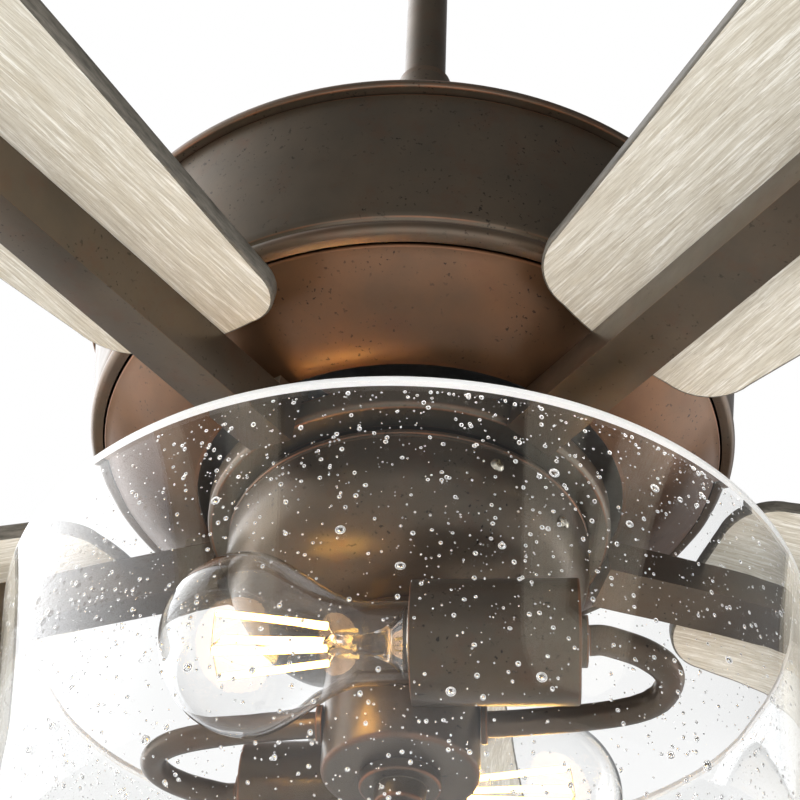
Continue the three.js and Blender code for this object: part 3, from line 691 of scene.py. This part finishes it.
def make_arms(m):
    start, end, half, height = ARM["start"], ARM["end"], ARM["half"], ARM["height"]
    foot_start, foot_end, foot_half = FOOT["start"], FOOT["end"], FOOT["half"]
    foot_outline = [(foot_start, -foot_half), (foot_end, -foot_half), (foot_end, foot_half),
                    (foot_start, foot_half)]
    for i in range(BLADES):
        spoke = about_z(FIRST_BLADE + 2 * math.pi * i / BLADES)
        pitched = spoke @ shift(0, 0, ARM_TOP) @ Matrix.Rotation(-PITCH, 4, "X")
        bar_outline = [(start, -half), (end, -half), (end, half), (start, half)]
        bar = moved(prism(bar_outline, -height, 0, 0), pitched)
        arm = new_object(f"blade_arm_bar_{i + 1}", *bar, m["bronze"])
        foot = moved(prism(foot_outline, FOOT["bottom"], FOOT["top"]), spoke)
        join_on(arm, *foot)
        modifier = arm.modifiers.new("round", "BEVEL")
        modifier.width = 0.9 * MM
        modifier.segments = 4
        modifier.limit_method = "ANGLE"
        apply_modifiers(arm)
        place(arm, "rotor", "bronze_casting", f"blade_arm_{i + 1}")
        for k, reach in enumerate(ARM["blade_screws"]):
            top = pitched @ shift(reach, 0, 6.35) @ Matrix.Rotation(math.pi, 4, "X")
            screw = pan_screw(f"blade_screw_{i + 1}_{k + 1}", 4.2, 2, 1.0, top, m["dark"])
            place(screw, "rotor", "bronze_dark")
        for k, reach in enumerate(FOOT["screws"]):
            top = spoke @ shift(reach, 0, -507.9) @ Matrix.Rotation(math.pi, 4, "X")
            screw = pan_screw(f"foot_screw_{i + 1}_{k + 1}", 3.6, 2, 0.6, top, m["steel"])
            place(screw, "rotor", "steel")


# ---- switch housing -------------------------------------------------------------------------------------

def make_switch_housing(m):
    radius, top, band, bottom, neck, wall = 66.5, -524.5, -537, -566, 27, 1.6

    def bowl(inset):
        edge = radius - inset
        return lambda t: (neck + (edge - neck) * math.sin(t * math.pi / 2),
                          bottom + inset + (band - bottom - inset) * (1 - math.cos(t * math.pi / 2)))
    outer = sample(34, bowl(0))
    inner = sample(30, bowl(wall))[::-1]
    collar = [(radius, -527.6, 0.4), (radius - 0.9, -527.2, 0.3), (radius - 0.9, -526.6, 0.3),
              (radius, -526.2, 0.4), (radius, top, 0.6)]
    bowl_piece = turned("switch_bowl", [(8.3, bottom), *outer, *collar, (radius - wall - 0.8, top), *inner,
                                        (8.3, bottom + wall)], m["bronze"], 200)
    slot = [(-6.1, 58.5), (6.1, 58.5), (6.1, 71.5), (-6.1, 71.5)]
    cut_away(bowl_piece, *prism(slot, -533.6, -528.4))
    place(bowl_piece, "fan_frame", "bronze", "switch_housing")
    screws = ((-64, -534, 0), (-36, -541, 24), (116, -534, 0), (144, -541, 24))
    for k, (around, height, tilt) in enumerate(screws):
        climb = (height - bottom) / (band - bottom)
        reach = radius + 0.2 if tilt == 0 else neck + (radius - neck) * math.sqrt(1 - (1 - climb) ** 2)
        lean = Matrix.Rotation(math.radians(-90 - tilt), 4, "Y")
        outward = about_z(math.radians(around)) @ shift(reach, 0, height) @ lean
        place(pan_screw(f"bowl_screw_{k + 1}", 2.7, 1.3, 2.4, outward, m["nickel"]), "fan_frame", "brass")


def make_reversing_switch(m):
    knob = prism([(-2.5, 59.5), (2.5, 59.5), (2.5, 68.7), (-2.5, 68.7)], -533, -529, 0.4)
    foot = prism([(-5, 58.5), (5, 58.5), (5, 61.5), (-5, 61.5)], -535, -527, 0.2)
    ridges = [prism([(x, 68.4), (x + 0.6, 68.4), (x + 0.6, 69), (x, 69)], -532.6, -529.4)
              for x in (-1.9, -0.3, 1.3)]
    switch = new_object("reverse_slider", *knob, m["plastic"])
    for part in (foot, *ridges):
        join_on(switch, *part)
    place(switch, "switch_slider", "black_plastic", "reversing_switch")


# ---- light kit ------------------------------------------------------------------------------------------

def make_column(m):
    bore, radius, inside, top, bottom, neck = COLUMN.values()
    column = turned("light_column_can", [
        (bore, bottom), (radius, bottom, 2.2), (radius, top, 0.5), (neck, top), (neck, -568.8),
        (inside, -568.8), (inside, -619), (bore, -619)], m["bronze"], 120)
    place(column, "fan_frame", "bronze", "light_column")
    cap_radius, cap_neck, cap_top, step, cap_bottom = CAP.values()
    cap = turned("column_end_cap", [
        (bore, cap_bottom), (cap_neck, cap_bottom, 1.2), (cap_neck, step, 0.4), (cap_radius, step, 0.9),
        (cap_radius, cap_top, 0.4), (bore, cap_top)], m["bronze"], MEDIUM)
    place(cap, "fan_frame", "bronze", "column_cap")


def lamp_matrix(index):
    """The lamp's own frame: Z runs from the bulb to the socket's rear, from zero at the socket's mouth."""
    turn = about_z(LAMP_TURN + (0 if index == 1 else math.pi))
    lengthwise = Matrix.Rotation(math.pi / 2, 4, "Y")
    return turn @ shift(SOCKET_MOUTH, -SOCKET_Y, SOCKET_Z) @ lengthwise


def smooth_path(points, steps=9):
    """A Catmull-Rom curve through the points."""
    padded = [points[0] * 2 - points[1], *points, points[-1] * 2 - points[-2]]
    path = []
    for a, b, c, d in zip(padded, padded[1:], padded[2:], padded[3:]):
        for k in range(steps):
            t = k / steps
            path.append(0.5 * (2 * b + (c - a) * t + (2 * a - 5 * b + 4 * c - d) * t * t
                               + (3 * b - a - 3 * c + d) * t ** 3))
    return [*path, points[-1]]


def make_tube(m, index):
    tip = 90.5
    route = [(27.3, 0), (32.3, -0.1), (44.3, -1.6), (62.3, -4.6), (tip - 12.5, -9), (tip - 3.5, -15.2),
             (tip, -24), (tip - 2.5, -32.8), (tip - 9.5, -40.5), (tip - 18.5, -46), (67.3, -SOCKET_Y),
             (63.3, -SOCKET_Y)]
    turn = about_z(LAMP_TURN + (0 if index == 1 else math.pi)) @ shift(0, 0, SOCKET_Z)
    path = smooth_path([turn @ Vector((x, y, 0)) for x, y in route])
    tube = swept(f"u_tube_{index}", path, 4.75, m["bronze"], 32)
    place(tube, "fan_frame", "bronze", f"bent_tube_{index}")
    collar = turned(f"tube_ferrule_{index}", [
        (4.85, 0), (7.2, 0, 0.4), (7.2, 2.2, 0.6), (4.85, 2.2)], m["bronze"], 48,
        turn @ shift(27.2, 0, 0) @ Matrix.Rotation(math.pi / 2, 4, "Y"))
    place(collar, "fan_frame", "bronze")


def make_socket(m, index):
    lamp = lamp_matrix(index)
    length = SOCKET_REAR - SOCKET_MOUTH
    cover = turned(f"socket_shell_{index}", [
        (0, length - 2.5), (17.5, length - 2.5), (17.5, 0, 0.3), (20, 0, 0.4), (20, length, 1),
        (8, length, 0.4), (8, length + 2.6, 0.6), (0, length + 2.6)], m["bronze"], 96, lamp)
    place(cover, "fan_frame", "bronze", f"socket_cover_{index}")
    holder = turned(f"lamp_shell_{index}", [
        (0, 30), (14, 30), (14, 4, 0.6), (16.6, 4, 0.8), (16.6, 36, 1.5), (10, length - 2.8, 1.5),
        (0, length - 2.8)], m["ceramic"], MEDIUM, lamp)
    place(holder, "fan_frame", "white_ceramic", f"lamp_holder_{index}")


def thread_outline(pitch=3.6, turns=5, radius=12.9, depth=0.55):
    """A rolled thread's ridges, as rings."""
    points = []
    for k in range(turns * 8 + 1):
        height = 4 + pitch * k / 8
        points.append((radius + depth * math.cos(2 * math.pi * k / 8) - depth, height))
    return points


def make_bulb(m, index):
    lamp = lamp_matrix(index)
    base = [(0, -0.5), (13.1, -0.5, 0.4), (13.1, 3)]
    base += thread_outline() + [(11.5, 23), (9, 24.2), (5, 27, 0.8), (0, 27)]
    shell = turned(f"screw_base_{index}", base, m["nickel"], MEDIUM, lamp)
    place(shell, "fan_frame", "brass", f"bulb_base_{index}")

    start = -0.8
    radius, neck, neck_length, wall = BULB["radius"], BULB["neck"], BULB["neck_length"], BULB["wall"]
    centre = start - BULB["length"] + radius

    def tip(inset):
        def curve(t):
            angle = t * math.pi / 2
            return (radius - inset) * math.sin(angle), centre - (radius - inset) * math.cos(angle)
        return curve

    def waist(inset):
        def curve(t):
            ease = t * t * (3 - 2 * t)
            return radius + (neck - radius) * ease - inset, centre + (start - neck_length - centre) * t
        return curve
    outer = sample(26, tip(0)) + sample(26, waist(0))[1:] + [(neck, start)]
    inner = [(neck - wall, start)] + sample(26, waist(wall))[:0:-1] + sample(26, tip(wall))[::-1]
    envelope = turned(f"bulb_envelope_{index}", outer + inner, m["bulb"], 96, lamp, 60)
    envelope.visible_shadow = False
    place(envelope, "fan_frame", "clear_glass", f"bulb_glass_{index}")

    stem = turned(f"bulb_stem_{index}", [(0, -1), (11.4, -1), (11.2, -2.2, 0.4), (6.5, -6, 2), (3.2, -13, 3),
                                         (2.6, -22, 2), (3.4, -26, 1.2), (1.8, -29, 0.8), (0, -29.5)],
                  m["bulb"], 48, lamp, 60)
    stem.visible_shadow = False
    place(stem, "fan_frame", "clear_glass")
    make_filaments(m, index, lamp)


def make_filaments(m, index, lamp):
    """Four lit sticks in a cone round the stem's tip, and the wires that hold them."""
    near, far, base_reach, tip_reach = -27, -64, 5.5, 10
    sticks, wires = [], []
    for k in range(4):
        angle = math.pi / 4 + k * math.pi / 2
        direction = Vector((math.cos(angle), math.sin(angle), 0))
        bottom = direction * base_reach + Vector((0, 0, near))
        top = direction * tip_reach + Vector((0, 0, far))
        sticks.append((bottom, top))
        wires += [(direction * 2 + Vector((0, 0, near + 2)), bottom), (top, Vector((0, 0, far - 1.5)))]
    lit = joined(*[bar_between(lamp @ a, lamp @ b, 1.25, 16) for a, b in sticks])
    glow = new_object(f"filaments_{index}", *lit, m["filament"])
    place(glow, "fan_frame", "clear_glass")
    holders = joined(*[bar_between(lamp @ a, lamp @ b, 0.28, 8) for a, b in wires])
    wire = new_object(f"filament_wires_{index}", *holders, m["nickel"])
    place(wire, "fan_frame", "brass")


def bar_between(start, end, radius, sides):
    axis = end - start
    turn = axis.to_track_quat("Z", "Y").to_matrix().to_4x4()
    outline = [(0, 0), (radius, 0, radius * 0.6), (radius, axis.length, radius * 0.6), (0, axis.length)]
    vertices, faces = turned_mesh(rounded(outline, 2), sides)
    return moved((vertices, faces), Matrix.Translation(start) @ turn)


def shade_point(t, inset):
    """A point of the shade's wall, from its hole (t = 0) to its mouth (t = 1)."""
    radius, shoulder, bottom = SHADE["radius"], SHADE["shoulder"], SHADE["bottom"]
    power = 2 / SHADE["squareness"]
    bowl_share = 0.62
    if t < bowl_share:
        first = math.acos((SHADE["hole"] / radius) ** (SHADE["squareness"] / 2))
        angle = first * (1 - t / bowl_share)
        reach, depth = math.cos(angle) ** power, math.sin(angle) ** power
        return max(SHADE["hole"], (radius - inset) * reach), shoulder + (bottom + inset - shoulder) * depth
    rise = (t - bowl_share) / (1 - bowl_share)
    return radius - inset, shoulder + (SHADE["top"] - shoulder) * rise


def make_shade(m):
    wall, radius, top = SHADE["wall"], SHADE["radius"], SHADE["top"]
    outer = sample(90, lambda t: shade_point(t, 0)) + [(radius, top + 0.1)]
    inner = sample(90, lambda t: shade_point(t, wall))[::-1]
    rim = [(radius - 0.15, top + 1.8), (radius - 0.9, top + 2.7), (radius - 2, top + 3),
           (radius - 3.1, top + 2.7), (radius - 3.85, top + 1.8)]
    shade = turned("seeded_shade", outer + rim + inner, m["glass"], 256, smooth_angle=75)
    shade.data.materials.append(m["rim"])
    for polygon in shade.data.polygons:
        if polygon.center.z > top * MM:
            polygon.material_index = 1
    shade.visible_shadow = False
    place(shade, "fan_frame", "seeded_glass", "glass_shade")
    make_seeds(m)


def unit_ball(subdivisions):
    ball = bmesh.new()
    bmesh.ops.create_icosphere(ball, subdivisions=subdivisions, radius=1)
    points = np.array([v.co for v in ball.verts])
    triangles = np.array([[v.index for v in f.verts] for f in ball.faces])
    ball.free()
    return points, triangles


def make_seeds(m, count=10500):
    """The glass's seeds: small round bubbles inside the wall, and a few large flat ones."""
    generator = random.Random(11)
    small, large = unit_ball(1), unit_ball(2)
    clusters = [(generator.uniform(0.3, 1), generator.uniform(0, 2 * math.pi)) for _ in range(40)]
    vertices, faces, total = [], [], 0
    for _ in range(count):
        t = generator.uniform(0.02, 0.98) ** 0.6
        angle = generator.uniform(0, 2 * math.pi)
        if generator.random() < 0.3:
            t, angle = generator.choice(clusters)
            t = min(0.985, max(0.1, t + generator.gauss(0, 0.06)))
            angle += generator.gauss(0, 0.16)
        size = generator.random()
        if size < 0.74:
            across = generator.uniform(0.16, 0.36)
        elif size < 0.985:
            across = generator.uniform(0.4, 0.8)
        else:
            across = generator.uniform(0.9, 1.7)
        points, triangles = small if across < 0.3 else large
        deep = min(across, 1.3)
        inset = generator.uniform(deep + 0.3, SHADE["wall"] - deep - 0.3)
        r, z = shade_point(t, inset)
        ahead, behind = shade_point(min(t + 0.01, 1), inset), shade_point(max(t - 0.01, 0), inset)
        up = Vector((ahead[0] - behind[0], 0, ahead[1] - behind[1])).normalized()
        along = Vector((0, 1, 0))
        turn = about_z(angle).to_3x3()
        stretch = generator.uniform(0.8, 1.25 if across < 1 else 1.0)
        axes = np.array([turn @ up.cross(along) * deep, turn @ along * across, turn @ up * across * stretch])
        vertices.append(points @ axes + np.array(turn @ Vector((r, 0, z))))
        faces.append(triangles + total)
        total += len(points)
    mesh = bpy.data.meshes.new("glass_seeds")
    mesh.from_pydata((np.concatenate(vertices) * MM).tolist(), [], np.concatenate(faces).tolist())
    work = bmesh.new()
    work.from_mesh(mesh)
    bmesh.ops.recalc_face_normals(work, faces=work.faces)
    work.to_mesh(mesh)
    work.free()
    mesh.shade_smooth()
    mesh.materials.append(m["bubble"])
    seeds = bpy.data.objects.new("glass_seeds", mesh)
    bpy.context.scene.collection.objects.link(seeds)
    seeds.visible_shadow = False
    place(seeds, "fan_frame", "seeded_glass")


def make_finial(m):
    top = -728.9
    turned_parts = [
        ("shade_pad_upper", [(3.3, -720.1), (15, -720.1, 0.6), (15, -717.1, 0.6), (3.3, -717.1)],
         "rubber", "rubber", "shade_washer_upper"),
        ("shade_pad_lower", [(3.3, -728.3), (15, -728.3, 0.8), (15, -725.3, 0.5), (3.3, -725.3)],
         "rubber", "rubber", "shade_washer_lower"),
        ("centre_stud", [(0, -744), (3, -744, 0.5), (3, -612, 0.5), (0, -612)],
         "steel", "steel", "centre_rod"),
        ("finial_knob", [(0, top - 23.9), (5, top - 23, 2), (8.5, top - 20, 2), (9.5, top - 16, 2.5),
                         (8, top - 12, 1.8), (6.2, top - 9.5, 1), (6.5, top - 8.3, 0.8), (12, top - 6, 1.5),
                         (13, top - 3, 1.5), (12.5, top, 0.6), (3.3, top), (3.3, top - 17), (0, top - 17)],
         "bronze", "bronze", "finial"),
    ]
    for name, outline, material, slot, node in turned_parts:
        place(turned(name, outline, m[material], MEDIUM), "fan_frame", slot, node)


# ---- CAD pieces that stay, with better finishes ---------------------------------------------------------

CAD_FINISHES = {
    "steel": ["hanger_bracket", "ball_pin", "clevis_pin", "cotter_pin", "coupling_set_screw", "motor_shaft",
              "bearing_upper", "bearing_lower", "switch_plate"],
    "iron": ["motor_coupling", "stator_core"],
    "aluminium": ["rotor_ring", "motor_cap_upper", "motor_cap_lower"],
    "copper_wire": ["winding_upper", "winding_lower"],
    "plastic": ["capacitor", "switch_body"],
}


def finish_cad_nodes(m):
    for finish, nodes in CAD_FINISHES.items():
        for node in nodes:
            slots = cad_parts[node].material_slots
            for one in slots:
                one.link = "OBJECT"
                one.material = m[finish]


# ---- stage, light and camera ----------------------------------------------------------------------------

def make_stage():
    floor = bpy.data.meshes.new("floor")
    reach, depth = 60, -6.0
    floor.from_pydata([(-reach, -reach, depth), (reach, -reach, depth), (reach, reach, depth),
                       (-reach, reach, depth)], [], [(0, 1, 2, 3)])
    piece = bpy.data.objects.new("floor", floor)
    bpy.context.scene.collection.objects.link(piece)
    m = Nodes("pale_floor")
    m.set(Base_Color=(0.86, 0.86, 0.85, 1), Roughness=0.9)
    floor.materials.append(m.material)
    piece.visible_glossy = False


STUDIO_BASE = 0.07
STUDIO_WALLS = [  # direction, how narrow, how bright
    ((-1, 0.25, -0.1), 4, 2.6),
    ((-0.6, 0.45, 0.65), 4, 2.4),
    ((1, 0.35, -0.2), 8, 2.8),
    ((0, -0.75, 0.65), 4, 0.1),
    ((0, -0.8, -0.6), 5, 1.4),
    ((0.05, 0.2, -1), 5, 0.25),
]


def make_world():
    """White behind the fan. Its surfaces reflect a studio: bright walls beside and behind, a dim front."""
    world = bpy.data.worlds.new("studio")
    bpy.context.scene.world = world
    world.use_nodes = True
    tree = world.node_tree
    tree.nodes.clear()

    def node(kind, **settings):
        made = tree.nodes.new(kind)
        for key, value in settings.items():
            setattr(made, key, value)
        return made

    def calculate(operation, a, b):
        made = node("ShaderNodeMath", operation=operation)
        for socket, value in zip(made.inputs, (a, b)):
            if isinstance(value, bpy.types.NodeSocket):
                tree.links.new(value, socket)
            else:
                socket.default_value = value
        return made.outputs[0]

    direction = node("ShaderNodeTexCoord").outputs["Generated"]
    strength = STUDIO_BASE
    for towards, narrow, brightness in STUDIO_WALLS:
        facing = node("ShaderNodeVectorMath", operation="DOT_PRODUCT")
        tree.links.new(direction, facing.inputs[0])
        facing.inputs[1].default_value = Vector(towards).normalized()
        lobe = calculate("POWER", calculate("MAXIMUM", facing.outputs["Value"], 0.0), narrow)
        strength = calculate("ADD", calculate("MULTIPLY", lobe, brightness), strength)
    path = node("ShaderNodeLightPath")
    bounces = calculate("ADD", path.outputs["Diffuse Depth"], path.outputs["Glossy Depth"])
    straight = calculate("LESS_THAN", bounces, 0.5)
    white, room = node("ShaderNodeBackground"), node("ShaderNodeBackground")
    white.inputs["Color"].default_value = (1, 1, 1, 1)
    room.inputs["Color"].default_value = (0.97, 0.98, 1.0, 1)
    tree.links.new(strength, room.inputs["Strength"])
    mix, out = node("ShaderNodeMixShader"), node("ShaderNodeOutputWorld")
    tree.links.new(straight, mix.inputs[0])
    tree.links.new(room.outputs[0], mix.inputs[1])
    tree.links.new(white.outputs[0], mix.inputs[2])
    tree.links.new(mix.outputs[0], out.inputs["Surface"])


def area_light(name, place_at, target, size, power):
    """A soft light that neither the camera nor the shiny surfaces see."""
    data = bpy.data.lights.new(name, "AREA")
    data.shape = "RECTANGLE"
    data.size, data.size_y = size
    data.energy = power
    lamp = bpy.data.objects.new(name, data)
    lamp.location = place_at
    lamp.rotation_euler = (Vector(target) - Vector(place_at)).to_track_quat("-Z", "Y").to_euler()
    lamp.visible_camera = False
    lamp.visible_glossy = False
    lamp.visible_transmission = False
    bpy.context.scene.collection.objects.link(lamp)


def make_lights():
    fan = (0, 0, -0.5)
    area_light("key_left_high", (-2.2, -0.9, 0.9), fan, (1.6, 1.4), 40)
    area_light("front_low", (0.2, -2.0, -2.2), fan, (2.4, 1.6), 50)
    area_light("back_low", (0, 2.2, -2.0), fan, (2.4, 1.6), 40)
    for index in (1, 2):
        data = bpy.data.lights.new(f"lamp_glow_{index}", "POINT")
        data.energy = 0.1
        data.shadow_soft_size = 0.02
        data.color = (1.0, 0.56, 0.26)
        glow = bpy.data.objects.new(f"lamp_glow_{index}", data)
        glow.location = lamp_matrix(index) @ Vector((0, 0, -46)) * MM
        glow.visible_camera = False
        glow.visible_transmission = False
        bpy.context.scene.collection.objects.link(glow)


def make_camera():
    """From below and in front, looking up at the lamps and the drum."""
    data = bpy.data.cameras.new("camera")
    data.sensor_width = 36
    data.lens = 86.6
    data.clip_start = 0.01
    camera = bpy.data.objects.new("camera", data)
    camera.location = (0, -0.5665, -0.960)
    pitch, yaw, roll = math.radians(90 + 42), math.radians(0.544), math.radians(2.4)
    turn = Matrix.Rotation(yaw, 3, "Z") @ Matrix.Rotation(pitch, 3, "X") @ Matrix.Rotation(roll, 3, "Z")
    camera.rotation_euler = turn.to_euler()
    bpy.context.scene.collection.objects.link(camera)
    bpy.context.scene.camera = camera
    bpy.context.scene.view_settings.view_transform = "Standard"


make_camera()
make_world()
make_lights()
make_stage()
materials = make_materials()
make_canopy(materials)
make_hanger(materials)
make_downrod(materials)
make_housing(materials)
make_hub(materials)
make_arms(materials)
make_blades(materials)
make_switch_housing(materials)
make_reversing_switch(materials)
make_column(materials)
for lamp_index in (1, 2):
    make_tube(materials, lamp_index)
    make_socket(materials, lamp_index)
    make_bulb(materials, lamp_index)
make_shade(materials)
make_finial(materials)
finish_cad_nodes(materials)
